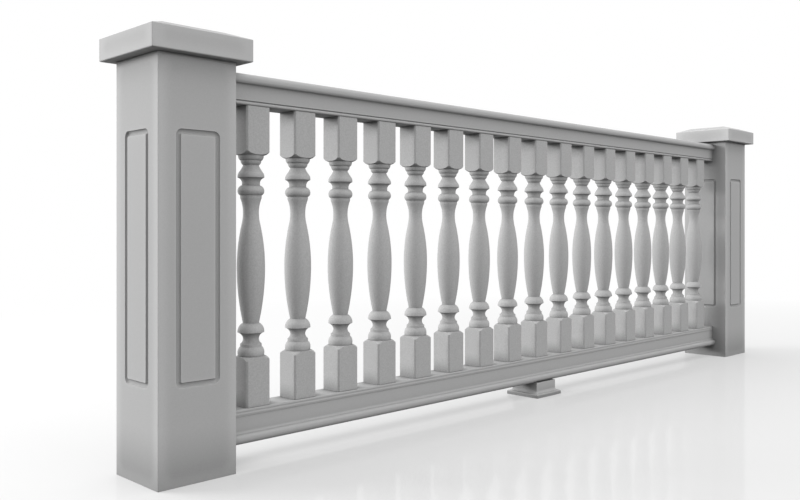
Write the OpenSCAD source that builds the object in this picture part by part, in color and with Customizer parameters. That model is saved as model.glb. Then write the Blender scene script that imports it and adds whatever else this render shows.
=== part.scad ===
// Moulded polyurethane balustrade: one bay of turned balusters between two newel posts.
// X runs along the rails, Y goes through them and Z is up. The origin is on the ground,
// midway between the posts and on the centre line of the rails.

/* [Bay] */
// Clear length between the two newel posts
span = 2838; // [2000:1:3600]
// Number of balusters in the bay
baluster_count = 17; // [9:1:21]
// Clear space between a post and the block of the nearest baluster
end_space = 80; // [40:1:120]
// Height of the handrail's top above the ground
handrail_h = 1070; // [850:1:1300]
// Height of the bottom rail's underside above the ground
ground_gap = 55; // [42:1:120]

/* [Newel posts] */
// Side of the square post
post_w = 222; // [170:1:300]
// Rise of the post above the handrail, up to the underside of its cap
post_rise = 12; // [5:1:60]
// Diameter of the bore that the post slips over its anchor pipe with
anchor_d = 64; // [30:1:80]
// Margin from the post's edge to the panel groove
panel_side = 48.5; // [35:0.5:70]
// Height of the panel groove's lower edge above the ground
panel_low = 245.5; // [160:1:300]
// Distance from the panel groove's upper edge up to the cap
panel_drop = 186.5; // [120:1:240]
// Width of the groove that outlines the panel
groove_w = 14; // [12:0.5:24]
// Distance from the panel's edge out to the groove's deepest line
groove_in = 6.5; // [4:0.5:11]
// Depth of that line
groove_d = 6; // [2:0.5:8]

/* [Post caps] */
// Overhang of the cap beyond each face of the post
cap_over = 32; // [15:1:60]
// Thickness of the cap's square slab
cap_slab = 59.5; // [30:0.5:90]
// Width of the sloped band around the cap's flat top
cap_slope = 54.5; // [30:0.5:80]
// Rise of that sloped band
cap_rise = 18.5; // [5:0.5:40]

/* [Balusters] */
// Side of the square block at each end of a baluster
block_w = 78; // [62:1:96]
// Height of the lower block with its turned shoulder
block_h = 138.5; // [100:0.5:170]
// Height of the upper block with its turned shoulder
high_block_h = 134.5; // [100:0.5:170]
// Height of the turned shoulder of the block
shoulder_h = 14.5; // [10:0.5:24]
// Width of the flat that eases each corner of the block
corner_flat = 6.8; // [1:0.1:8]
// Diameter of the swelling in the middle of the shaft
belly_d = 78.4; // [60:0.1:96]
// Diameter of the turned rings
ring_d = 74.4; // [60:0.1:92]
// Diameter of the thinnest places of the shaft
neck_d = 44; // [36:0.1:58]
// Diameter of the fillets beside the rings
fillet_d = 59.8; // [52:0.1:70]
// Diameter of the collar between the upper ring and the skirt
collar_d = 50; // [42:0.1:60]
// Diameter of the small ring that touches the upper block
collet_d = 71; // [60:0.5:76]
// Diameter of the smaller ring below it
step_d = 57.6; // [48:0.1:66]

/* [Rails] */
// Reveal of the rail's side beyond the face of a baluster's block
rail_reveal = 2; // [1:0.5:8]
// Projection of the nosing beyond the rail's side
nosing_out = 14.5; // [11:0.5:24]
// Height of the nosing
nosing_h = 28; // [22:0.5:40]
// Radius of the round at the nosing's outer edge
nosing_r = 15.5; // [8:0.5:20]
// Radius of the cove under the nosing
cove_r = 8; // [4:0.5:10]
// Height of the handrail's flat side
top_fascia = 36; // [20:1:60]
// Height of the bottom rail's flat side
bottom_fascia = 40; // [20:1:60]
// Height of the single bead beside the balusters on the handrail
top_bead = 10; // [6:0.5:14]
// Height of each of the two beads on the bottom rail
bottom_bead = 7.8; // [5:0.1:10]
// Width and depth of the quirk that parts the handrail's bead from its side
quirk = 2; // [1:0.5:3]
// Width of the fine quirk above each bead of the bottom rail
fine_quirk = 1.2; // [0.5:0.1:2]
// Projection of the bottom rail's beads beyond its side
bead_out = 2.5; // [1.5:0.1:4]
// How far the round of such a bead stands out from its own edges
bead_round = 0.9; // [0.5:0.1:1.4]

/* [Support block] */
// Side of the support block's foot
foot_w = 150; // [130:1:200]
// Side of the support block's shaft
prop_w = 118; // [80:1:124]
// Height of the foot's upright edge
foot_h = 14; // [8:1:18]
// Height of the moulding between the foot and the shaft
foot_mould = 15; // [8:1:18]

/* [Hidden] */
paint = "gainsboro";
over = 1;                  // how far a cutting shape runs past the face that it cuts
nosing_low = nosing_h - nosing_r; // from the cove to the nosing's widest place
post_x = (span + post_w) / 2;
post_h = handrail_h + post_rise;
panel_w = post_w - 2 * (panel_side + groove_w);
panel_h = post_h - panel_low - panel_drop - 2 * groove_w;
fascia_x = block_w / 2 + rail_reveal;
nosing_x = fascia_x + nosing_out;
top_rail_h = top_bead + quirk + top_fascia + cove_r + nosing_h;
bottom_rail_h = 2 * (bottom_bead + fine_quirk) + bottom_fascia + cove_r + nosing_h;
baluster_z = ground_gap + bottom_rail_h;
baluster_h = handrail_h - top_rail_h - baluster_z;
baluster_pitch = (span - 2 * end_space - block_w) / (baluster_count - 1);
block_reach = block_w / sqrt(2);

function baluster_name(i) = str("baluster_", i < 10 ? "0" : "", i);
function baluster_x(i) = (i - (baluster_count + 1) / 2) * baluster_pitch;

// Points between p and q along an arc that stands out by s to the right of the way from
// p to q. On an outline that climbs, a positive s is round and a negative s is hollow.
function bow(p, q, s, n = 6) =
    let (
        d = q - p,
        c = norm(d),
        r = (c * c / 4 + s * s) / (2 * abs(s)),
        g = sign(s),
        o = (p + q) / 2 + [d[1], -d[0]] / c * (s - g * r),
        a = atan2(p[1] - o[1], p[0] - o[0]),
        t = 2 * asin(min(1, c / (2 * r)))
    )
    [for (i = [1:n - 1]) o + r * [cos(a + g * t * i / n), sin(a + g * t * i / n)]];

// Stand-out of an arc between p and q that is upright at one of its ends
function lean(p, q) =
    let (d = q - p) norm(d) / 2 * tan(atan2(abs(d[0]), abs(d[1])) / 2);

// Arc from p to q, with q itself
function arc(p, q, s, n = 6) = concat(bow(p, q, s, n), [q]);

// Stretch from p to q that is upright at both ends: round beside the wider end and
// hollow beside the narrower one. The curve turns over at the given share of the way.
function ogee(p, q, share, n = 6) =
    let (m = p + (q - p) * share, g = sign(p[0] - q[0]))
    concat(arc(p, m, g * lean(p, m), n), arc(m, q, -g * lean(m, q), n));

// Half outline given from low to high, closed with its mirror image
function both_sides(half) =
    concat(half, [for (i = [len(half) - 1:-1:0]) [-half[i][0], half[i][1]]]);

// Turned group above the lower block, from the block up to the foot of the shaft
function lower_turning(z) =
    let (ring = ring_d / 2, fillet = fillet_d / 2, neck = neck_d / 2)
    concat(
        [[0, z], [ring - 1, z]],
        arc([ring - 1, z], [ring, z + 9], 0.4, 3),            // quarter round
        arc([ring, z + 9], [fillet, z + 26], 2.2),
        [[fillet, z + 33.5]],                                 // fillet
        arc([fillet, z + 33.5], [neck, z + 49], -2.4),        // hollow
        arc([neck, z + 49], [ring, z + 66], -3.4),
        [[ring, z + 68]],                                     // flat-bottomed ring
        arc([ring, z + 68], [neck + 0.5, z + 92.5],
            lean([ring, z + 68], [neck + 0.5, z + 92.5]), 8)
    );

// Turned group below the upper block, from the neck of the shaft up to the block
function upper_turning(z) =
    let (
        ring = ring_d / 2, fillet = fillet_d / 2, neck = neck_d / 2,
        collar = collar_d / 2, collet = collet_d / 2, step = step_d / 2
    )
    concat(
        [[neck, z - 161]],
        arc([neck, z - 161], [fillet, z - 120], -lean([neck, z - 161], [fillet, z - 120])),
        [[fillet, z - 113]],                                  // fillet
        arc([fillet, z - 113], [ring, z - 100.5], 2, 4),      // full round ring
        arc([ring, z - 100.5], [collar, z - 84.5], 3.4),
        [[collar, z - 77.5]],                                 // collar
        arc([collar, z - 77.5], [ring - 0.5, z - 63], -3),
        [[ring, z - 62], [ring, z - 60]],                     // sharp lower edge of the skirt
        arc([ring, z - 60], [ring - 4.5, z - 47], 1.3, 4),
        arc([ring - 4.5, z - 47], [neck, z - 28.8], -0.6, 4),
        [[neck + 0.6, z - 27.4]],                             // two small rings
        arc([neck + 0.6, z - 27.4], [step, z - 14.5], 1.8, 4),
        [[step + 2.2, z - 13.7]],
        arc([step + 2.2, z - 13.7], [collet, z - 1], 1.4, 4),
        [[collet, z], [0, z]]
    );

// Half outline of the whole turned part of a baluster
function turning() =
    let (
        low = block_h,
        high = baluster_h - high_block_h,
        foot = [neck_d / 2 + 0.5, low + 92.5],
        neck = [neck_d / 2, high - 161],
        belly = [belly_d / 2, (foot[1] + neck[1]) / 2]
    )
    concat(
        lower_turning(low),
        arc(foot, belly, lean(foot, belly), 10),
        ogee(belly, neck, 0.8, 8),
        upper_turning(high)
    );

// Square of side w with a flat of width f on each corner
module eased_square(w, f) {
    a = w / 2;
    b = a - f / sqrt(2);
    polygon([[a, -b], [a, b], [b, a], [-b, a], [-a, b], [-a, -b], [-b, -a], [b, -a]]);
}

// Square block of height h at the foot of a baluster, its upper corners turned down to
// the round
module end_block(h) {
    rise = h - shoulder_h;
    top = [ring_d / 2 - 1, h];
    intersection() {
        linear_extrude(height = h) eased_square(block_w, corner_flat);
        rotate_extrude($fn = 48) polygon(concat(
            [[0, 0], [block_reach, 0], [block_reach, rise]],
            arc([block_reach, rise], top, 2.9),
            [[0, h]]
        ));
    }
}

module baluster(i) {
    color(paint) translate([baluster_x(i), 0, baluster_z]) {
        end_block(block_h);
        rotate_extrude($fn = 48) polygon(turning());
        translate([0, 0, baluster_h]) mirror([0, 0, 1]) end_block(high_block_h);
    }
}

// Half outline of a rail, from its baluster side to its nosing. Each bead beside the
// balusters starts at foot from the middle and stands out from there, with a gap above it.
function rail_half(beads, bead, gap, foot, stand, fascia) =
    let (
        side_z = beads * (bead + gap),
        cove_z = side_z + fascia,
        cove_end = [fascia_x + cove_r, cove_z + cove_r],
        widest = [nosing_x, cove_z + cove_r + nosing_low]
    )
    concat(
        [for (k = [0:beads - 1]) each
            let (p = [foot, k * (bead + gap)], q = p + [0, bead])
            concat([p], arc(p, q, stand), [q + [0, gap]])],
        [[fascia_x, side_z]],
        [[fascia_x, cove_z]],
        arc([fascia_x, cove_z], cove_end, -cove_r * (1 - sqrt(0.5)), 5),
        arc(cove_end, widest, lean(cove_end, widest), 6),
        arc(widest, widest + [-nosing_r, nosing_r], nosing_r * (1 - sqrt(0.5)), 9)
    );

// Rail of the given half outline along the whole clear length between the posts
module rail(half) {
    color(paint) rotate([90, 0, 90])
        linear_extrude(height = span, center = true) polygon(both_sides(half));
}

module top_rail() {
    foot = fascia_x - quirk - 1;
    translate([0, 0, handrail_h - top_rail_h])
        rail(rail_half(1, top_bead, quirk, foot, quirk + 2, top_fascia));
}

// The bottom rail is the same moulding turned over, with its nosing nearest the ground
module bottom_rail() {
    foot = fascia_x + bead_out - bead_round;
    translate([0, 0, baluster_z]) mirror([0, 0, 1]) rail(rail_half(
        2, bottom_bead, fine_quirk, foot, bead_round, bottom_fascia
    ));
}

// Body with the same mitred outline on all four sides
module mitred(half, reach) {
    intersection() {
        rotate([90, 0, 0])
            linear_extrude(height = 2 * reach, center = true) polygon(both_sides(half));
        rotate([90, 0, 90])
            linear_extrude(height = 2 * reach, center = true) polygon(both_sides(half));
    }
}

// Section of the panel groove: sloped down from the panel and up to the post's face
module groove_section() {
    polygon([[0, -over], [groove_w, -over], [groove_w, 0], [groove_in, groove_d], [0, 0]]);
}

// Groove around a panel of w by h that lies in XY, with its depth along +Z
module panel_groove(w, h) {
    for (turn = [0, 180]) rotate([0, 0, turn]) {
        translate([w / 2, h / 2, 0]) rotate([90, 0, 0])
            linear_extrude(height = h) groove_section();
        translate([w / 2, h / 2, 0])
            rotate_extrude(angle = 90, $fn = 48) groove_section();
        rotate([0, 0, 90]) translate([h / 2, w / 2, 0]) {
            rotate([90, 0, 0]) linear_extrude(height = w) groove_section();
            rotate_extrude(angle = 90, $fn = 48) groove_section();
        }
    }
}

module newel_post(side) {
    color(paint) translate([side * post_x, 0, 0]) difference() {
        translate([-post_w / 2, -post_w / 2, 0]) cube([post_w, post_w, post_h]);
        for (turn = [0:90:270]) rotate([0, 0, turn])
            translate([0, -post_w / 2, panel_low + groove_w + panel_h / 2])
                rotate([-90, 0, 0]) panel_groove(panel_w, panel_h);
        translate([0, 0, -over]) cylinder(d = anchor_d, h = post_h + 2 * over, $fn = 64);
    }
}

module post_cap(side) {
    edge = post_w / 2 + cap_over;
    top = cap_slab + cap_rise;
    color(paint) translate([side * post_x, 0, post_h])
        mitred([[edge, 0], [edge, cap_slab], [edge - cap_slope, top]], edge);
}

module support_block() {
    foot = foot_w / 2;
    prop = prop_w / 2;
    ledge = (foot_w - prop_w) / 6;
    ease = foot_h / 4;
    mould = [prop, foot_h + foot_mould];
    color(paint) mitred(concat(
        [[foot, 0], [foot, foot_h - ease]],
        arc([foot, foot_h - ease], [foot - ease, foot_h], ease * (1 - sqrt(0.5)), 3),
        [[foot - ledge - ease, foot_h]],
        arc([foot - ledge - ease, foot_h], mould, -foot_mould / 6),
        [[prop, ground_gap]]
    ), foot);
}

newel_post(-1);  // left_post
newel_post(1);  // right_post
post_cap(-1);  // left_post_cap
post_cap(1);  // right_post_cap
top_rail();
bottom_rail();
support_block();
for (i = [1:baluster_count]) {
    baluster(i);
}
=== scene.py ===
import math

import bmesh
import bpy
from mathutils import Matrix, Vector


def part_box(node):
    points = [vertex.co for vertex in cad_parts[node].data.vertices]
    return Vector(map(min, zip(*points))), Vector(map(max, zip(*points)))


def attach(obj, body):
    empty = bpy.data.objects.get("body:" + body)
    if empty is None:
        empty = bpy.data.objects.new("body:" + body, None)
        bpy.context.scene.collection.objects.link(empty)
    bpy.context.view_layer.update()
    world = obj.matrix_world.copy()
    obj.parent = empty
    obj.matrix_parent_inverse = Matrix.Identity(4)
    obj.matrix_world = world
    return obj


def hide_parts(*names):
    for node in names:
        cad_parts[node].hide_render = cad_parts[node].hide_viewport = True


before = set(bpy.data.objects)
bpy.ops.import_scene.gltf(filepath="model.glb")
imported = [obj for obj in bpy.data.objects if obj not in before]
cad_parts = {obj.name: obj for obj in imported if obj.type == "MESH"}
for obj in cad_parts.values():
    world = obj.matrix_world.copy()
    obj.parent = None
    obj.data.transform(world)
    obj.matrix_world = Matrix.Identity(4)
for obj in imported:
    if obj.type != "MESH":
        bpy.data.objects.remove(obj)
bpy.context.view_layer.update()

quarter = math.pi / 2
print("frame loaded:", len(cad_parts), "nodes")

# Camera, measured from the left post's near lower corner in widths of the post
cameraView = {
    "stand": (-4.629, -8.757, 2.909),
    "turn": -45.89,  # degrees from +Y
    "lens": 38.5,
    "shift": (-0.0454, -0.0271),
}
nearFoot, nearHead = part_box("left_post")
postWidth = nearHead.x - nearFoot.x
cameraData = bpy.data.cameras.new("camera")
cameraData.lens = cameraView["lens"]
cameraData.shift_x, cameraData.shift_y = cameraView["shift"]
camera = bpy.data.objects.new("camera", cameraData)
camera.location = nearFoot + Vector(cameraView["stand"]) * postWidth
camera.rotation_euler = (quarter, 0, math.radians(cameraView["turn"]))
bpy.context.collection.objects.link(camera)
bpy.context.scene.camera = camera
bpy.context.scene.view_settings.view_transform = "Standard"
print("camera placed")


# Outlines are lists of 2-D points; on one that climbs, the outside is to its right
def bow(p, q, stand, steps):
    # points between p and q on an arc that stands out to the right of the way from p to q
    way = q - p
    chord = way.length
    radius = (chord * chord / 4 + stand * stand) / (2 * abs(stand))
    side = math.copysign(1, stand)
    outward = Vector((way.y, -way.x)) / chord
    centre = (p + q) / 2 + outward * (stand - side * radius)
    start = math.atan2(p.y - centre.y, p.x - centre.x)
    sweep = side * 2 * math.asin(min(1, chord / (2 * radius)))
    angles = [start + sweep * i / steps for i in range(1, steps)]
    return [centre + radius * Vector((math.cos(a), math.sin(a))) for a in angles]


def arc(p, q, stand, steps):
    p, q = Vector(p), Vector(q)
    return bow(p, q, stand, steps) + [q]


def lean(p, q):
    # stand-out of an arc that is upright at one of its ends
    way = Vector(q) - Vector(p)
    return way.length / 2 * math.tan(math.atan2(abs(way.x), abs(way.y)) / 2)


def ogee(p, q, share, steps):
    # upright at both ends, round beside the wider one and hollow beside the narrower one
    p, q = Vector(p), Vector(q)
    middle = p.lerp(q, share)
    side = math.copysign(1, p.x - q.x)
    swell = arc(p, middle, side * lean(p, middle), steps)
    return swell + arc(middle, q, -side * lean(middle, q), steps)


def eased(points, radii, steps):
    # outline with a small round at each point that has a radius; the ends have none
    out = [Vector(points[0])]
    for i in range(1, len(points) - 1):
        before, here, after = (Vector(points[k]) for k in (i - 1, i, i + 1))
        radius = radii.get(i, 0)
        if not radius:
            out.append(here)
            continue
        inward, onward = (before - here).normalized(), (after - here).normalized()
        half = inward.angle(onward) / 2
        reach = radius / math.tan(half)
        start, end = here + inward * reach, here + onward * reach
        bulge = radius * (1 - math.sin(half))
        turn = inward.x * onward.y - inward.y * onward.x
        out += [start] + arc(start, end, math.copysign(bulge, -turn), steps)
    return out + [Vector(points[-1])]


def squareLoop(reach, radius, height, cornerSteps=5):
    # rounded square, anticlockwise seen from above, from the corner at low x and low y
    inner = reach - radius
    loop = []
    for corner, (sx, sy) in enumerate(((-1, -1), (1, -1), (1, 1), (-1, 1))):
        for i in range(cornerSteps + 1):
            a = quarter * (corner + 2 + i / cornerSteps)
            x, y = sx * inner + radius * math.cos(a), sy * inner + radius * math.sin(a)
            loop.append(Vector((x, y, height)))
    return loop


def loft(loops, centre=Vector((0, 0, 0))):
    # closed shell through loops of equal length, from the lowest to the highest
    count = len(loops[0])
    points = [p + centre for loop in loops for p in loop]
    faces = [list(range(count))[::-1]]
    for row in range(len(loops) - 1):
        low, high = row * count, (row + 1) * count
        for i in range(count):
            j = (i + 1) % count
            faces.append([low + i, low + j, high + j, high + i])
    last = (len(loops) - 1) * count
    return points, faces + [list(range(last, last + count))]


def meshFrom(name, points, faces):
    mesh = bpy.data.meshes.new(name)
    mesh.from_pydata(points, [], faces)
    return cleaned(mesh)


def cleaned(mesh):
    work = bmesh.new()
    work.from_mesh(mesh)
    bmesh.ops.remove_doubles(work, verts=work.verts, dist=1e-6)
    bmesh.ops.dissolve_degenerate(work, edges=work.edges, dist=1e-6)
    bmesh.ops.recalc_face_normals(work, faces=work.faces)
    work.to_mesh(mesh)
    work.free()
    return mesh


def footOf(low, high):
    # middle of a box's lowest face
    return Vector(((low.x + high.x) / 2, (low.y + high.y) / 2, low.z))


finish = {"sharpAngle": 32, "normalWeight": 60}  # degrees; share of the large faces


def addPiece(name, mesh, material, nodes):
    # smooth shading that keeps the flats flat, then the piece joins the frame
    mesh.shade_smooth()
    mesh.set_sharp_from_angle(angle=math.radians(finish["sharpAngle"]))
    mesh.materials.clear()
    mesh.materials.append(material)
    piece = bpy.data.objects.new(name, mesh)
    bpy.context.collection.objects.link(piece)
    weighted = piece.modifiers.new("flats", "WEIGHTED_NORMAL")
    weighted.weight = finish["normalWeight"]
    weighted.keep_sharp = True
    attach(piece, "root")
    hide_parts(*nodes)


# Shader groups shared by the three finishes
def newGroup(name, inputs, outputs, kind="ShaderNodeTree"):
    tree = bpy.data.node_groups.new(name, kind)
    for title, socketType, value in inputs:
        socket = tree.interface.new_socket(title, in_out="INPUT", socket_type=socketType)
        if value is not None:
            socket.default_value = value
    for title, socketType in outputs:
        tree.interface.new_socket(title, in_out="OUTPUT", socket_type=socketType)
    return tree, tree.nodes.new("NodeGroupInput"), tree.nodes.new("NodeGroupOutput")


def addNode(tree, kind, settings=None, **links):
    # a node with its settings; each link is an input's name with _ for a space
    node = tree.nodes.new(kind)
    for key, value in (settings or {}).items():
        setattr(node, key, value)
    for key, value in links.items():
        plug(tree, node.inputs[key.replace("_", " ")], value)
    return node


def plug(tree, socket, value):
    if isinstance(value, bpy.types.NodeSocket):
        tree.links.new(value, socket)
    else:
        socket.default_value = value


def calculate(tree, operation, *values):
    node = tree.nodes.new("ShaderNodeMath")
    node.operation = operation
    for socket, value in zip(node.inputs, values):
        plug(tree, socket, value)
    return node.outputs[0]


def spread(tree, value, fromLow, fromHigh, toLow, toHigh):
    node = tree.nodes.new("ShaderNodeMapRange")
    for socket, number in zip(node.inputs, (value, fromLow, fromHigh, toLow, toHigh)):
        plug(tree, socket, number)
    return node.outputs[0]


def noiseOf(tree, vector, scale, detail, roughness=0.5):
    node = addNode(tree, "ShaderNodeTexNoise", Vector=vector, Scale=scale, Detail=detail)
    node.inputs["Roughness"].default_value = roughness
    return node.outputs["Fac"]


def scaledColour(tree, colour, gain):
    node = addNode(tree, "ShaderNodeVectorMath", {"operation": "SCALE"}, Scale=gain)
    plug(tree, node.inputs[0], colour)
    return node.outputs["Vector"]


skin = {
    "grainDetail": 3.0, "grainRoughness": 0.6, "peelDetail": 2.0, "cloudDetail": 3.0,
    "speckleRange": (0.3, 0.7),  # grain values that become no speckle and full speckle
}


def grainGroup():
    # fine skin of the moulded foam: pits and a faint orange peel, as a height and a mask
    number = "NodeSocketFloat"
    tree, entry, result = newGroup(
        "mouldedGrain",
        [("Vector", "NodeSocketVector", None), ("Grain Size", number, 0.0012),
         ("Peel Size", number, 0.012), ("Grain Share", number, 0.6)],
        [("Height", number), ("Speckle", number)],
    )
    vector = entry.outputs["Vector"]
    fine = calculate(tree, "DIVIDE", 1.0, entry.outputs["Grain Size"])
    broad = calculate(tree, "DIVIDE", 1.0, entry.outputs["Peel Size"])
    grain = noiseOf(tree, vector, fine, skin["grainDetail"], skin["grainRoughness"])
    peel = noiseOf(tree, vector, broad, skin["peelDetail"])
    mix = addNode(tree, "ShaderNodeMix", Factor=entry.outputs["Grain Share"])
    plug(tree, mix.inputs["A"], peel)
    plug(tree, mix.inputs["B"], grain)
    plug(tree, result.inputs["Height"], mix.outputs["Result"])
    plug(tree, result.inputs["Speckle"], spread(tree, grain, *skin["speckleRange"], 0.0, 1.0))
    return tree


def toneGroup():
    # paint tone that drifts a little over the surface and is mottled by the grain
    number = "NodeSocketFloat"
    tree, entry, result = newGroup(
        "paintTone",
        [("Vector", "NodeSocketVector", None), ("Paint", "NodeSocketColor", (0.5, 0.5, 0.5, 1)),
         ("Drift Size", number, 0.35), ("Drift", number, 0.04),
         ("Speckle", number, 0.5), ("Speckling", number, 0.03)],
        [("Color", "NodeSocketColor")],
    )
    scale = calculate(tree, "DIVIDE", 1.0, entry.outputs["Drift Size"])
    cloud = noiseOf(tree, entry.outputs["Vector"], scale, skin["cloudDetail"])
    drift = calculate(tree, "SUBTRACT", cloud, 0.5)
    drift = calculate(tree, "MULTIPLY", drift, entry.outputs["Drift"])
    fleck = calculate(tree, "SUBTRACT", entry.outputs["Speckle"], 0.5)
    fleck = calculate(tree, "MULTIPLY", fleck, entry.outputs["Speckling"])
    gain = calculate(tree, "ADD", calculate(tree, "ADD", drift, fleck), 1.0)
    plug(tree, result.inputs["Color"], scaledColour(tree, entry.outputs["Paint"], gain))
    return tree


edgeAndHollowShading = {
    "samples": 8,
    "edgeRange": (0.92, 0.68),  # openness inside the surface, from no painted highlight to full painted highlight
    "hollowRange": (1.0, 0.2),  # openness outside it, from no painted shade to full painted shade
}


def edgeAndHollowShadingGroup():
    # painted highlight along outer edges and painted shade in inner corners and hollows, both
    # from ambient occlusion
    number = "NodeSocketFloat"
    tree, entry, result = newGroup(
        "paintedEdgeHighlightAndHollowShade",
        [("Color", "NodeSocketColor", (0.5, 0.5, 0.5, 1)), ("Edge Width", number, 0.01),
         ("Edge Light", number, 0.1), ("Hollow Reach", number, 0.05),
         ("Hollow Dark", number, 0.2)],
        [("Color", "NodeSocketColor"), ("Edge", number), ("Hollow", number)],
    )
    samples = edgeAndHollowShading["samples"]
    inside = addNode(tree, "ShaderNodeAmbientOcclusion", {"inside": True, "samples": samples},
                     Distance=entry.outputs["Edge Width"])
    outside = addNode(tree, "ShaderNodeAmbientOcclusion", {"samples": samples},
                      Distance=entry.outputs["Hollow Reach"])
    edge = spread(tree, inside.outputs["AO"], *edgeAndHollowShading["edgeRange"], 0.0, 1.0)
    hollow = spread(tree, outside.outputs["AO"], *edgeAndHollowShading["hollowRange"], 0.0, 1.0)
    # painted highlight on outer edges and painted shade in hollows, scaled into the base colour
    lighter = calculate(tree, "MULTIPLY", edge, entry.outputs["Edge Light"])
    darker = calculate(tree, "MULTIPLY", hollow, entry.outputs["Hollow Dark"])
    gain = calculate(tree, "SUBTRACT", calculate(tree, "ADD", lighter, 1.0), darker)
    plug(tree, result.inputs["Color"], scaledColour(tree, entry.outputs["Color"], gain))
    plug(tree, result.inputs["Edge"], edge)
    plug(tree, result.inputs["Hollow"], hollow)
    return tree


grainTree, toneTree, edgeAndHollowShadingTree = grainGroup(), toneGroup(), edgeAndHollowShadingGroup()

paint = (0.47, 0.47, 0.47, 1)
# each finish sets the strength of its painted edge highlight and painted hollow shade
postFinish = {
    "paint": paint, "grainSize": 0.0025, "peelSize": 0.014, "grainShare": 0.5,
    "drift": 0.03, "driftSize": 0.4, "speckling": 0.07, "edgeWidth": 0.045,
    "paintedEdgeHighlight": 0.15, "hollowReach": 0.15, "paintedHollowShade": 0.6,
    "roughness": (0.68, 0.8), "specular": 0.08, "bump": 0.25, "bumpDepth": 0.0004,
}
railFinish = dict(
    postFinish, edgeWidth=0.008, paintedEdgeHighlight=0.04, hollowReach=0.05, paintedHollowShade=0.75)
turnedFinish = dict(railFinish, grainSize=0.004, speckling=0.2, bump=0.6)


def mouldedMaterial(name, look):
    material = bpy.data.materials.new(name)
    material.use_nodes = True
    tree = material.node_tree
    shader = tree.nodes["Principled BSDF"]
    place = tree.nodes.new("ShaderNodeTexCoord").outputs["Object"]
    grain = addNode(tree, "ShaderNodeGroup", {"node_tree": grainTree}, Vector=place,
                    Grain_Size=look["grainSize"], Peel_Size=look["peelSize"],
                    Grain_Share=look["grainShare"])
    tone = addNode(tree, "ShaderNodeGroup", {"node_tree": toneTree}, Vector=place,
                   Paint=look["paint"], Drift_Size=look["driftSize"], Drift=look["drift"],
                   Speckle=grain.outputs["Speckle"], Speckling=look["speckling"])
    # base colour with a painted highlight on outer edges and painted shade in hollows
    shadedAndHighlighted = addNode(tree, "ShaderNodeGroup", {"node_tree": edgeAndHollowShadingTree},
                   Color=tone.outputs["Color"], Edge_Width=look["edgeWidth"],
                   Edge_Light=look["paintedEdgeHighlight"], Hollow_Reach=look["hollowReach"],
                   Hollow_Dark=look["paintedHollowShade"])
    bump = addNode(tree, "ShaderNodeBump", Height=grain.outputs["Height"],
                   Strength=look["bump"], Distance=look["bumpDepth"])
    smooth, dull = look["roughness"]
    roughness = spread(tree, grain.outputs["Speckle"], 0.0, 1.0, smooth, dull)
    plug(tree, shader.inputs["Base Color"], shadedAndHighlighted.outputs["Color"])
    plug(tree, shader.inputs["Roughness"], roughness)
    plug(tree, shader.inputs["Normal"], bump.outputs["Normal"])
    shader.inputs["Specular IOR Level"].default_value = look["specular"]
    return material


postPaint = mouldedMaterial("paintedPost", postFinish)
railPaint = mouldedMaterial("paintedRail", railFinish)
turnedPaint = mouldedMaterial("paintedTurning", turnedFinish)
print("materials made")

# Newel post: a hollow square shaft with a sunk line round a panel on each face
newelPost = {
    "cornerRound": 0.0016, "endRound": 0.001, "roundSteps": 4,
    "boreRadius": 0.032, "boreEase": 0.001, "boreSteps": 16,
    "grooveMargin": 0.0485,  # post's edge to the groove's outer edge
    "grooveLow": 0.2455, "grooveDrop": 0.1865,  # from the ground, and down from the cap
    "outerSlope": 0.0075, "innerSlope": 0.0065, "grooveDepth": 0.0062,
    "outerSteps": 7, "innerSteps": 6,
    "panelCorner": 0.003, "cornerSteps": 10,
}


def grooveSection(look):
    # offset outwards from the panel's edge and depth, from the post's face to the panel
    outer, inner, depth = look["outerSlope"], look["innerSlope"], look["grooveDepth"]
    width = outer + inner
    crease = Vector((inner, depth))
    down = arc((width, 0), crease, lean((0, width), (depth, inner)), look["outerSteps"])
    up = arc(crease, (0, 0), lean((0, inner), (depth, 0)), look["innerSteps"])
    return [Vector((width, 0))] + down + up


def panelLoop(halfWidth, halfHeight, radius, middle, depth, steps):
    loop = []
    for corner, (su, sv) in enumerate(((-1, -1), (1, -1), (1, 1), (-1, 1))):
        for i in range(steps + 1):
            a = quarter * (corner + 2 + i / steps)
            u = su * (halfWidth - radius) + radius * math.cos(a)
            v = sv * (halfHeight - radius) + radius * math.sin(a) + middle
            loop.append(Vector((u, v, depth)))
    return loop


def ringFaces(lowLoop, highLoop):
    # faces between two loops of equal length, one inside or above the other
    count = len(lowLoop)
    turn = [(i, (i + 1) % count) for i in range(count)]
    return [[lowLoop[i], lowLoop[j], highLoop[j], highLoop[i]] for i, j in turn]


def sideFaces(half, height, look):
    # the face at low y, flat on the plane of u and v, with its groove and panel
    flat, ease = half - look["cornerRound"], look["endRound"]
    grooveWide = look["outerSlope"] + look["innerSlope"]
    bottom, top = look["grooveLow"] + grooveWide, height - look["grooveDrop"] - grooveWide
    halfWidth = half - look["grooveMargin"] - grooveWide
    halfHeight, middle = (top - bottom) / 2, (top + bottom) / 2
    count = look["cornerSteps"]
    loops = []
    for offset, depth in grooveSection(look):
        size = (halfWidth + offset, halfHeight + offset, look["panelCorner"] + offset)
        loops.append(panelLoop(*size, middle, depth, count))
    frameCorners = [(-flat, ease), (flat, ease), (flat, height - ease), (-flat, height - ease)]
    corners = [Vector((u, v, 0)) for u, v in frameCorners]
    faces = []
    outside, ring = loops[0], len(loops[0])
    for k in range(4):
        start, end = k * (count + 1) + count // 2, ((k + 1) % 4) * (count + 1) + count // 2
        back = [outside[(end - i) % ring] for i in range((end - start) % ring + 1)]
        faces.append([corners[k], corners[(k + 1) % 4]] + back)
    for outerLoop, innerLoop in zip(loops, loops[1:]):
        faces += ringFaces(outerLoop, innerLoop)
    return faces + [loops[-1]]


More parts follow.
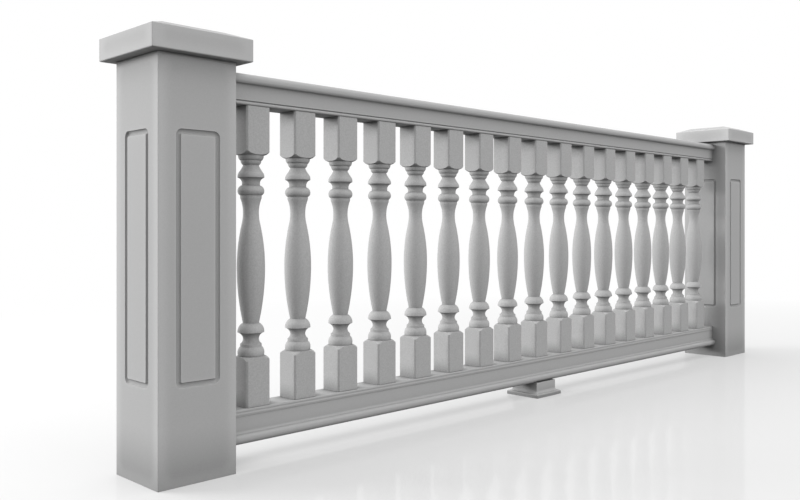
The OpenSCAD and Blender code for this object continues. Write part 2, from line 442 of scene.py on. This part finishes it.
def levelLoops(half, look):
    # the round at the post's foot, as squares that grow with height
    ease, steps = look["endRound"], look["roundSteps"]
    loops = []
    for i in range(steps + 1):
        a = quarter * i / steps
        inset, rise = ease * (1 - math.sin(a)), ease * (1 - math.cos(a))
        loops.append(squareLoop(half - inset, look["cornerRound"] - inset, rise, steps))
    return loops


def boreLoop(radius, z, steps):
    angles = [quarter * (2.5 + i / steps) for i in range(4 * steps)]
    return [Vector((radius * math.cos(a), radius * math.sin(a), z)) for a in angles]


def postFaces(low, high, look):
    half, height = (high.x - low.x) / 2, high.z - low.z
    faces = []
    side = sideFaces(half, height, look)
    for turn in range(4):
        spin = Matrix.Rotation(turn * quarter, 3, "Z")
        for face in side:
            faces.append([spin @ Vector((p.x, p.z - half, p.y)) for p in face])
    # the rounds at both ends and the corner strips between them
    steps = look["roundSteps"]
    footLoops = levelLoops(half, look)
    headLoops = [[Vector((p.x, p.y, height - p.z)) for p in loop] for loop in footLoops[::-1]]
    around = len(footLoops[0])
    for group in (footLoops, headLoops):
        for lowLoop, highLoop in zip(group, group[1:]):
            faces += ringFaces(lowLoop, highLoop)
    lowLoop, highLoop = footLoops[-1], headLoops[0]
    for i in range(around):
        if i % (steps + 1) != steps:
            faces.append([lowLoop[i], lowLoop[i + 1], highLoop[i + 1], highLoop[i]])
    # the bore, and both ends round it
    bore, ease, boreSteps = look["boreRadius"], look["boreEase"], look["boreSteps"]
    wall = [(bore + ease, 0), (bore, ease), (bore, height - ease), (bore + ease, height)]
    boreLoops = [boreLoop(radius, z, boreSteps) for radius, z in wall]
    for lowLoop, highLoop in zip(boreLoops, boreLoops[1:]):
        faces += [face[::-1] for face in ringFaces(lowLoop, highLoop)]
    for squareEnd, boreEnd in ((footLoops[0], boreLoops[0]), (headLoops[-1], boreLoops[-1])):
        for k in range(4):
            start, first = k * (steps + 1) + steps // 2, k * boreSteps
            outer = [squareEnd[(start + i) % around] for i in range(steps + 2)]
            inner = [boreEnd[(first + i) % len(boreEnd)] for i in range(boreSteps + 1)]
            faces.append(outer + inner[::-1])
    return faces


def soup(name, faces, centre):
    # mesh from faces given by their corners; corners that meet become one
    points, lists = [], []
    for face in faces:
        lists.append(list(range(len(points), len(points) + len(face))))
        points += [p + centre for p in face]
    return meshFrom(name, points, lists)


for side in ("left", "right"):
    low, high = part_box(side + "_post")
    mesh = soup(side + "NewelPost", postFaces(low, high, newelPost), footOf(low, high))
    addPiece(side + "NewelPost", mesh, postPaint, [side + "_post"])
print("posts made")

# Post cap: a square slab with a sloped band round its flat top
postCap = {
    "slab": 0.0595, "band": 0.0545, "cornerRound": 0.002,
    "lowerRound": 0.0035, "upperRound": 0.0018, "topRound": 0.006, "roundSteps": 5,
}
for side in ("left", "right"):
    low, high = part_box(side + "_post_cap")
    reach, rise = (high.x - low.x) / 2, high.z - low.z
    outline = [(0, 0), (reach, 0), (reach, postCap["slab"])]
    outline += [(reach - postCap["band"], rise), (0, rise)]
    rounds = {1: postCap["lowerRound"], 2: postCap["upperRound"], 3: postCap["topRound"]}
    rows = eased(outline, rounds, postCap["roundSteps"])[1:-1]
    loops = [squareLoop(p.x, postCap["cornerRound"], p.y) for p in rows]
    mesh = meshFrom(side + "PostCap", *loft(loops, footOf(low, high)))
    addPiece(side + "PostCap", mesh, postPaint, [side + "_post_cap"])
print("caps made")

# Support block under the middle of the bottom rail: foot, hollow moulding and shaft
supportBlock = {
    "footEdge": 0.014, "soleRound": 0.001, "footRound": 0.0035, "roundSteps": 6,
    "ledge": 0.0053, "mouldHeight": 0.015, "mouldStand": 0.0025, "mouldSteps": 10,
    "shaft": 0.059, "cornerRound": 0.002,
}
low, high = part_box("support_block")
reach, rise = (high.x - low.x) / 2, high.z - low.z
ease, edge = supportBlock["footRound"], supportBlock["footEdge"]
shaftFoot = (supportBlock["shaft"], edge + supportBlock["mouldHeight"])
ledgeEnd = (reach - supportBlock["ledge"] - ease, edge)
outline = [(0, 0), (reach, 0), (reach, edge), ledgeEnd]
rounds = {1: supportBlock["soleRound"], 2: ease}
outline = eased(outline, rounds, supportBlock["roundSteps"])[1:]
outline += arc(ledgeEnd, shaftFoot, -supportBlock["mouldStand"], supportBlock["mouldSteps"])
outline.append(Vector((supportBlock["shaft"], rise)))
loops = [squareLoop(p.x, supportBlock["cornerRound"], p.y) for p in outline]
mesh = meshFrom("supportFoot", *loft(loops, footOf(low, high)))
addPiece("supportFoot", mesh, railPaint, ["support_block"])
print("support block made")

# Rails: one moulding swept between the posts, its nosing away from the balusters
railMoulding = {
    "side": 0.041, "sideRound": 0.0004, "cove": 0.008, "coveOut": 0.0045,
    "nosing": 0.0555, "nosingLow": 0.0105, "nosingFace": 0.0025, "nosingRound": 0.015,
    "beadSteps": 10, "sideSteps": 3, "coveSteps": 8, "lowSteps": 10, "roundSteps": 14,
    "top": {"beads": 1, "bead": 0.010, "quirk": 0.002, "foot": 0.038, "stand": 0.004,
            "side": 0.036},
    "bottom": {"beads": 2, "bead": 0.0078, "quirk": 0.0012, "foot": 0.0426, "stand": 0.0009,
               "side": 0.040},
}
quarterBulge = 1 - math.sqrt(0.5)  # stand-out of a quarter circle of radius 1


def railHalf(look, ends):
    # half outline from the baluster side to the nosing, from low to high
    points = []
    bead, quirk, side, cove = ends["bead"], ends["quirk"], look["side"], look["cove"]
    for k in range(ends["beads"]):
        start = Vector((ends["foot"], k * (bead + quirk)))
        end = start + Vector((0, bead))
        points += [start] + arc(start, end, ends["stand"], look["beadSteps"])
        points.append(end + Vector((0, quirk)))
    sideLow = ends["beads"] * (bead + quirk)
    coveLow = sideLow + ends["side"]
    coveTop = (side + look["coveOut"], coveLow + cove)
    nosing, large, ease = look["nosing"], look["nosingRound"], look["sideRound"]
    widest = (nosing, coveTop[1] + look["nosingLow"])
    edge = (nosing, widest[1] + look["nosingFace"])
    sideFoot, sideFace = (side - ease, sideLow), (side, sideLow + ease)
    points.append(Vector(sideFoot))
    points += arc(sideFoot, sideFace, ease * quarterBulge, look["sideSteps"])
    points.append(Vector((side, coveLow)))
    coveStand = look["coveOut"] * quarterBulge
    points += arc((side, coveLow), coveTop, -coveStand, look["coveSteps"])
    points += arc(coveTop, widest, lean(coveTop, widest), look["lowSteps"]) + [Vector(edge)]
    crown = (nosing - large, edge[1] + large)
    return points + arc(edge, crown, large * quarterBulge, look["roundSteps"])


def sweepTree():
    tree, entry, result = newGroup(
        "railSweep",
        [("Outline", "NodeSocketGeometry", None), ("Length", "NodeSocketFloat", 1.0),
         ("Material", "NodeSocketMaterial", None)],
        [("Mesh", "NodeSocketGeometry")], "GeometryNodeTree",
    )
    half = calculate(tree, "MULTIPLY", entry.outputs["Length"], 0.5)
    back = calculate(tree, "MULTIPLY", half, -1.0)
    start = addNode(tree, "ShaderNodeCombineXYZ", X=back)
    end = addNode(tree, "ShaderNodeCombineXYZ", X=half)
    line = addNode(tree, "GeometryNodeCurvePrimitiveLine",
                   Start=start.outputs[0], End=end.outputs[0])
    outline = addNode(tree, "GeometryNodeMeshToCurve", Mesh=entry.outputs["Outline"])
    swept = addNode(tree, "GeometryNodeCurveToMesh", Curve=line.outputs[0],
                    Profile_Curve=outline.outputs[0], Fill_Caps=True)
    real = addNode(tree, "GeometryNodeRealizeInstances", Geometry=swept.outputs[0])
    painted = addNode(tree, "GeometryNodeSetMaterial", Geometry=real.outputs[0],
                      Material=entry.outputs["Material"])
    plug(tree, result.inputs["Mesh"], painted.outputs[0])
    return tree


def grown(tree, source, values):
    # plain mesh that the tree makes from the source mesh with these inputs
    holder = bpy.data.objects.new("holder", source)
    bpy.context.collection.objects.link(holder)
    modifier = holder.modifiers.new("nodes", "NODES")
    modifier.node_group = tree
    for item in tree.interface.items_tree:
        if item.item_type == "SOCKET" and item.in_out == "INPUT" and item.name in values:
            modifier[item.identifier] = values[item.name]
    holder.update_tag()
    evaluated = holder.evaluated_get(bpy.context.evaluated_depsgraph_get())
    mesh = bpy.data.meshes.new_from_object(evaluated)
    bpy.data.objects.remove(holder)
    return mesh


railTree = sweepTree()


def addRail(name, node, half, climb):
    low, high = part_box(node)
    base = low.z if climb > 0 else high.z
    loop = half + [Vector((-p.x, p.y)) for p in reversed(half)]
    # swept along x, an outline's x becomes -y and its y becomes -z
    points = [(p.x, -(base + climb * p.y), 0) for p in loop]
    edges = [(i, (i + 1) % len(points)) for i in range(len(points))]
    outline = bpy.data.meshes.new(name + "Outline")
    outline.from_pydata(points, edges, [])
    values = {"Length": high.x - low.x, "Material": railPaint}
    mesh = cleaned(grown(railTree, outline, values))
    addPiece(name, mesh, railPaint, [node])


addRail("handrail", "top_rail", railHalf(railMoulding, railMoulding["top"]), 1)
addRail("footRail", "bottom_rail", railHalf(railMoulding, railMoulding["bottom"]), -1)
print("rails made")

# Turned baluster: square blocks at both ends, turned groups beside them, a swelling shaft
turning = {
    "block": 0.039, "lowBlock": 0.1385, "highBlock": 0.1345, "blockEdge": 0.0008, "edgeSteps": 3,
    "cornerCut": 0.0048, "cornerStand": 0.0002,  # the flat along each corner of a block
    "shoulder": 0.0145, "shoulderStand": 0.0029,  # drop at a whole corner, and its round
    "shoulderSteps": 6, "sideColumns": 12, "cornerColumns": 3,
    # radii, from the widest to the narrowest
    "belly": 0.0392, "ring": 0.0372, "ringTop": 0.0367, "ringFoot": 0.0362, "collet": 0.0355,
    "dome": 0.0327, "colletFoot": 0.0310, "fillet": 0.0299, "step": 0.0288, "collar": 0.0250,
    "stepFoot": 0.0226, "shaft": 0.0225, "neck": 0.0220,
    "shaftFoot": 0.0925, "shaftHead": 0.161, "filletDepth": 0.12,  # away from the blocks
    "waistPlace": 0.8,  # share of the way from the belly to the head where the curve turns
    "footSteps": 10, "bellySteps": 16, "waistSteps": 12, "headSteps": 10,
    # radius, height above the lower block, stand-out and steps of the round that leads there
    "lowGroup": [
        ("ring", 0.009, 0.0004, 4), ("fillet", 0.026, 0.0022, 8), ("fillet", 0.0335, 0, 1),
        ("neck", 0.049, -0.0024, 7), ("ring", 0.066, -0.0034, 8), ("ring", 0.068, 0, 1),
    ],
    # the same for the upper group, upwards, with the depth below the upper block
    "highGroup": [
        ("fillet", 0.113, 0, 1), ("ring", 0.1005, 0.002, 6), ("collar", 0.0845, 0.0034, 8),
        ("collar", 0.0775, 0, 1), ("ringTop", 0.063, -0.003, 7), ("ring", 0.062, 0, 1),
        ("ring", 0.06, 0, 1), ("dome", 0.047, 0.0013, 5), ("neck", 0.0288, -0.0006, 5),
        ("stepFoot", 0.0274, 0, 1), ("step", 0.0145, 0.0018, 6), ("colletFoot", 0.0137, 0, 1),
        ("collet", 0.001, 0.0014, 6), ("collet", 0.0, 0, 1),
    ],
}


def groupRows(start, rows, look, level, way):
    # outline on from start through the rows; way is 1 for heights and -1 for depths
    points = [Vector(start)]
    for radius, away, stand, steps in rows:
        goal = Vector((look[radius], level + way * away))
        points += arc(points[-1], goal, stand, steps) if stand else [goal]
    return points


def turnedRows(height, look):
    # the turned outline from the top of the lower block to the foot of the upper one
    low, high = look["lowBlock"], height - look["highBlock"]
    points = groupRows((look["ringFoot"], low), look["lowGroup"], look, low, 1)
    foot = Vector((look["shaft"], low + look["shaftFoot"]))
    points += arc(points[-1], foot, lean(points[-1], foot), look["footSteps"])
    neck = Vector((look["neck"], high - look["shaftHead"]))
    belly = Vector((look["belly"], (foot.y + neck.y) / 2))
    points += arc(foot, belly, lean(foot, belly), look["bellySteps"])
    points += ogee(belly, neck, look["waistPlace"], look["waistSteps"])
    fillet = Vector((look["fillet"], high - look["filletDepth"]))
    points += arc(neck, fillet, -lean(neck, fillet), look["headSteps"])[:-1]
    return points + groupRows(fillet, look["highGroup"], look, high, -1)


def blockColumns(look):
    # direction of each column and how far the block reaches there
    half, flat = look["block"], look["block"] - look["cornerCut"]
    flatAngle = math.atan2(flat, half)
    corner = arc((half, flat), (flat, half), look["cornerStand"], look["cornerColumns"])
    columns = []
    for side in range(4):
        for i in range(look["sideColumns"] + 1):
            a = flatAngle * (2 * i / look["sideColumns"] - 1)
            columns.append((side * quarter + a, half / math.cos(a)))
        for p in corner[:-1]:
            columns.append((side * quarter + math.atan2(p.y, p.x), p.length))
    return columns


def blockRows(columns, blockHeight, look, place):
    # a square block from its outer end to its shoulder, turned down to the round
    half, edge, stand = look["block"], look["blockEdge"], look["shoulderStand"]
    foot = Vector((half * math.sqrt(2), blockHeight - look["shoulder"]))
    head = Vector((look["ringFoot"], blockHeight))
    way = head - foot
    radius = (way.length ** 2 / 4 + stand ** 2) / (2 * stand)
    outward = Vector((way.y, -way.x)).normalized()
    centre = (foot + head) / 2 + outward * (stand - radius)
    rows = []
    for i in range(look["edgeSteps"] + 1):
        a = quarter * i / look["edgeSteps"]
        share = 1 - edge * (1 - math.sin(a)) / half
        rise = edge * (1 - math.cos(a))
        rows.append([(angle, r * share, place(rise)) for angle, r in columns])
    for i in range(look["shoulderSteps"] + 1):
        row = []
        for angle, r in columns:
            reach = r + (head.x - r) * i / look["shoulderSteps"]
            height = centre.y + math.sqrt(radius ** 2 - (reach - centre.x) ** 2)
            row.append((angle, reach, place(height)))
        rows.append(row)
    return rows


def balusterMesh(height, look):
    columns = blockColumns(look)
    rows = blockRows(columns, look["lowBlock"], look, lambda z: z)
    for p in turnedRows(height, look)[1:]:
        rows.append([(angle, p.x, p.y) for angle, r in columns])
    rows += blockRows(columns, look["highBlock"], look, lambda z: height - z)[::-1]
    loops = []
    for row in rows:
        loops.append([Vector((r * math.cos(a), r * math.sin(a), z)) for a, r, z in row])
    return meshFrom("turnedBaluster", *loft(loops))


def rowTree():
    tree, entry, result = newGroup(
        "balusterRow",
        [("Baluster", "NodeSocketGeometry", None), ("Count", "NodeSocketInt", 1),
         ("First Place", "NodeSocketVector", None), ("Pitch", "NodeSocketFloat", 0.1),
         ("Pick", "NodeSocketInt", 0), ("Material", "NodeSocketMaterial", None)],
        [("Mesh", "NodeSocketGeometry")], "GeometryNodeTree",
    )
    step = addNode(tree, "ShaderNodeCombineXYZ", X=entry.outputs["Pitch"])
    line = addNode(tree, "GeometryNodeMeshLine", Count=entry.outputs["Count"],
                   Start_Location=entry.outputs["First Place"], Offset=step.outputs[0])
    index = tree.nodes.new("GeometryNodeInputIndex").outputs[0]
    picked = addNode(tree, "FunctionNodeCompare", {"data_type": "INT", "operation": "EQUAL"})
    whole = [socket for socket in picked.inputs if socket.type == "INT"]
    plug(tree, whole[0], index)
    plug(tree, whole[1], entry.outputs["Pick"])
    placed = addNode(tree, "GeometryNodeInstanceOnPoints", Points=line.outputs[0],
                     Selection=picked.outputs[0], Instance=entry.outputs["Baluster"])
    real = addNode(tree, "GeometryNodeRealizeInstances", Geometry=placed.outputs[0])
    painted = addNode(tree, "GeometryNodeSetMaterial", Geometry=real.outputs[0],
                      Material=entry.outputs["Material"])
    plug(tree, result.inputs["Mesh"], painted.outputs[0])
    return tree


balusterNodes = sorted(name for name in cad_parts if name.startswith("baluster_"))
firstLow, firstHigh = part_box(balusterNodes[0])
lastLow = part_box(balusterNodes[-1])[0]
pitch = (lastLow.x - firstLow.x) / (len(balusterNodes) - 1)
master = balusterMesh(firstHigh.z - firstLow.z, turning)
balusterTree = rowTree()
for i, node in enumerate(balusterNodes):
    values = {"Count": len(balusterNodes), "First Place": footOf(firstLow, firstHigh),
              "Pitch": pitch, "Pick": i, "Material": turnedPaint}
    mesh = grown(balusterTree, master.copy(), values)
    addPiece(node.replace("baluster", "turnedBaluster"), mesh, turnedPaint,
             [node])
print("balusters made:", len(balusterNodes))

# Studio: a pale floor that fades to white, a white surround and soft lamps
studio = {
    "floorReach": 30, "floorTone": 0.76, "floorBounce": 0.06,
    "floorGlow": 0.4, "glowTone": 0.82, "floorShine": 0.1, "floorGloss": 0.08,
    "fadeFrom": (0.0, -0.9, 0.0), "fadeNear": 1.8, "fadeFar": 5.5,
    "worldLight": 0.81, "lampAim": (0, 0, 0.5),
}
lamps = {
    "backLeft": {"place": (-5.5, 6.0, 2.6), "size": (5.0, 2.4), "power": 660},
    "front": {"place": (0.5, -8.5, 2.6), "size": (5.0, 2.4), "power": 190},
    "top": {"place": (0.0, 0.0, 8.0), "size": (12.0, 12.0), "power": 300},
}


def grey(tone):
    return (tone, tone, tone, 1)


def seenRays(tree):
    # 1 for rays that look at a surface, straight or by reflection, and 0 for light
    seen = tree.nodes.new("ShaderNodeLightPath")
    direct = calculate(tree, "MAXIMUM", seen.outputs["Is Camera Ray"],
                       seen.outputs["Is Glossy Ray"])
    return calculate(tree, "MAXIMUM", direct, seen.outputs["Is Transmission Ray"])


def mixed(tree, share, first, second):
    # shader between two others
    node = addNode(tree, "ShaderNodeMixShader", Fac=share)
    plug(tree, node.inputs[1], first)
    plug(tree, node.inputs[2], second)
    return node.outputs[0]


def floorMaterial(look):
    material = bpy.data.materials.new("paleFloor")
    material.use_nodes = True
    tree = material.node_tree
    tree.nodes.clear()
    pale = addNode(tree, "ShaderNodeBsdfDiffuse", Color=grey(look["floorTone"])).outputs[0]
    dim = addNode(tree, "ShaderNodeBsdfDiffuse", Color=grey(look["floorBounce"])).outputs[0]
    gloss = addNode(tree, "ShaderNodeBsdfGlossy", Roughness=look["floorGloss"]).outputs[0]
    glow = addNode(tree, "ShaderNodeEmission", Color=grey(look["glowTone"])).outputs[0]
    white = addNode(tree, "ShaderNodeEmission", Color=grey(1)).outputs[0]
    lifted = mixed(tree, look["floorGlow"], pale, glow)
    sheen = mixed(tree, look["floorShine"], lifted, gloss)
    place = tree.nodes.new("ShaderNodeTexCoord").outputs["Object"]
    away = addNode(tree, "ShaderNodeVectorMath", {"operation": "DISTANCE"})
    plug(tree, away.inputs[0], place)
    plug(tree, away.inputs[1], look["fadeFrom"])
    far = spread(tree, away.outputs["Value"], look["fadeNear"], look["fadeFar"], 0.0, 1.0)
    faded = mixed(tree, far, sheen, white)
    # light that bounces off the floor meets the dim shader, so it doesn't wash the piece out
    both = mixed(tree, seenRays(tree), dim, faded)
    addNode(tree, "ShaderNodeOutputMaterial", Surface=both)
    return material


reach = studio["floorReach"]
corners = [(-reach, -reach, 0), (reach, -reach, 0), (reach, reach, 0), (-reach, reach, 0)]
floorMesh = bpy.data.meshes.new("floor")
floorMesh.from_pydata(corners, [], [(0, 1, 2, 3)])
floorMesh.materials.append(floorMaterial(studio))
floor = bpy.data.objects.new("floor", floorMesh)
bpy.context.collection.objects.link(floor)

for name, lamp in lamps.items():
    light = bpy.data.lights.new(name + "Lamp", "AREA")
    light.shape = "RECTANGLE"
    light.size, light.size_y = lamp["size"]
    light.energy = lamp["power"]
    holder = bpy.data.objects.new(name + "Lamp", light)
    holder.location = lamp["place"]
    aim = Vector(studio["lampAim"]) - holder.location
    holder.rotation_euler = aim.to_track_quat("-Z", "Y").to_euler()
    holder.visible_camera = False
    holder.visible_glossy = False
    bpy.context.collection.objects.link(holder)

world = bpy.data.worlds.new("studio")
bpy.context.scene.world = world
world.use_nodes = True
tree = world.node_tree
tree.nodes.clear()
strength = spread(tree, seenRays(tree), 0.0, 1.0, studio["worldLight"], 1.0)
surround = addNode(tree, "ShaderNodeBackground", Color=grey(1), Strength=strength)
addNode(tree, "ShaderNodeOutputWorld", Surface=surround.outputs[0])
print("studio made")
